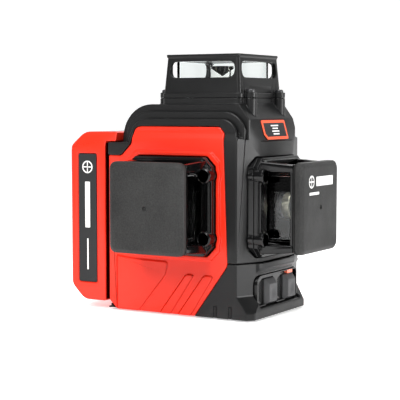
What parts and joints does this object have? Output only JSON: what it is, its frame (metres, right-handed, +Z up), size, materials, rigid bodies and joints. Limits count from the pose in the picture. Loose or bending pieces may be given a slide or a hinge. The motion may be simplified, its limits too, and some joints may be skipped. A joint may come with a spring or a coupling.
{
  "type": "line laser level",
  "caption": "Self-levelling line laser with glass-walled cone-prism cages on its top, front and side, a gimballed pendulum, press keys and a slide-on battery pack.",
  "frame": {"origin": "middle of the box around the object, on the plane its feet stand on", "axes": "+Z up, -Y out of the front face with the keys, -X out of the side that carries a cage"},
  "size_m": [0.0916, 0.136, 0.137],
  "materials": {
    "black_plastic": "fine textured moulding",
    "red_plastic": "satin moulding",
    "gloss_black": "polished moulding",
    "cap_plastic": "coarse spark-eroded texture",
    "key_plastic": "matt moulding",
    "clear_glass": "polished",
    "screw_steel": "blackened steel",
    "foot_rubber": "matt",
    "brass": "turned",
    "copper": "rolled copper",
    "anodised_alloy": "anodised",
    "board_green": "solder mask",
    "cell_wrap": "shrink wrap over a steel can",
    "lamp_red": "clear tinted",
    "label_black": "printed film"
  },
  "bodies": {
    "body": {"upper_housing": "black_plastic", "lower_housing": "black_plastic", "top_cage": "black_plastic", "left_side_panel": "red_plastic", "right_side_panel": "red_plastic", "front_cage_seal": "gloss_black", "front_cage_frame": "gloss_black", "side_cage_seal": "gloss_black", "side_cage_frame": "gloss_black", "key_bezel": "gloss_black", "front_cage_cap": "cap_plastic", "side_cage_cap": "cap_plastic", "front_cage_glass": "clear_glass", "side_cage_glass": "clear_glass", "top_glass": "clear_glass", "front_cage_screw_1": "screw_steel", "front_cage_screw_2": "screw_steel", "front_cage_screw_3": "screw_steel", "front_cage_screw_4": "screw_steel", "side_cage_screw_1": "screw_steel", "side_cage_screw_2": "screw_steel", "side_cage_screw_3": "screw_steel", "side_cage_screw_4": "screw_steel", "top_cage_screw_1": "screw_steel", "top_cage_screw_2": "screw_steel", "top_cage_screw_3": "screw_steel", "top_cage_screw_4": "screw_steel", "damping_magnet": "screw_steel", "foot_1": "foot_rubber", "foot_2": "foot_rubber", "foot_3": "foot_rubber", "foot_4": "foot_rubber", "tripod_insert": "brass", "body_contacts": "brass", "hanger_frame": "anodised_alloy", "main_board": "board_green", "status_light": "lamp_red", "warning_sticker": "label_black"},
    "gimbal": {"gimbal_ring": "anodised_alloy"},
    "pendulum": {"pendulum_block": "anodised_alloy", "top_barrel": "anodised_alloy", "front_barrel": "anodised_alloy", "side_barrel": "anodised_alloy", "top_prism": "clear_glass", "front_prism": "clear_glass", "side_prism": "clear_glass", "pendulum_weight": "brass", "damping_plate": "copper"},
    "mode_key": {"mode_key": "key_plastic"},
    "power_key": {"power_key": "key_plastic"},
    "battery": {"battery_cover": "red_plastic", "battery_tray": "black_plastic", "pack_contacts": "copper", "battery_label_left": "label_black", "battery_label_right": "label_black", "cell_1": "cell_wrap", "cell_2": "cell_wrap"},
    "latch": {"latch_plate": "black_plastic"},
    "lock_slider": {"lock_slider": "black_plastic"},
    "lock_pad": {"lock_pad": "foot_rubber"}
  },
  "joints": [
    {"name": "gimbal_pitch", "type": "hinge", "parent": "body", "child": "gimbal", "pos_m": [0.0138, -0.0098, 0.101], "axis": [1, 0, 0], "range_deg": [-4, 4]},
    {"name": "pendulum_roll", "type": "hinge", "parent": "gimbal", "child": "pendulum", "pos_m": [0.0138, -0.0098, 0.101], "axis": [0, 1, 0], "range_deg": [-4, 4]},
    {"name": "mode_press", "type": "slide", "parent": "body", "child": "mode_key", "axis": [0, 1, 0], "range_m": [0, 0.001], "stiffness_N_per_m": 400, "springref_m": -0.001},
    {"name": "power_press", "type": "slide", "parent": "body", "child": "power_key", "axis": [0, 1, 0], "range_m": [0, 0.001], "stiffness_N_per_m": 400, "springref_m": -0.001},
    {"name": "battery_slide", "type": "slide", "parent": "body", "child": "battery", "axis": [0, 0, 1], "range_m": [0, 0.1]},
    {"name": "latch_press", "type": "slide", "parent": "battery", "child": "latch", "axis": [0, 0, -1], "range_m": [0, 0.0015], "stiffness_N_per_m": 500, "springref_m": -0.001},
    {"name": "lock_slide", "type": "slide", "parent": "body", "child": "lock_slider", "axis": [0, 1, 0], "range_m": [0, 0.008]},
    {"name": "lock_lift", "type": "slide", "parent": "body", "child": "lock_pad", "axis": [0, 0, 1], "range_m": [0, 0.003]}
  ],
  "couplings": [
    {"joint": "lock_lift", "follows": "lock_slide", "ratio": 0.375}
  ]
}
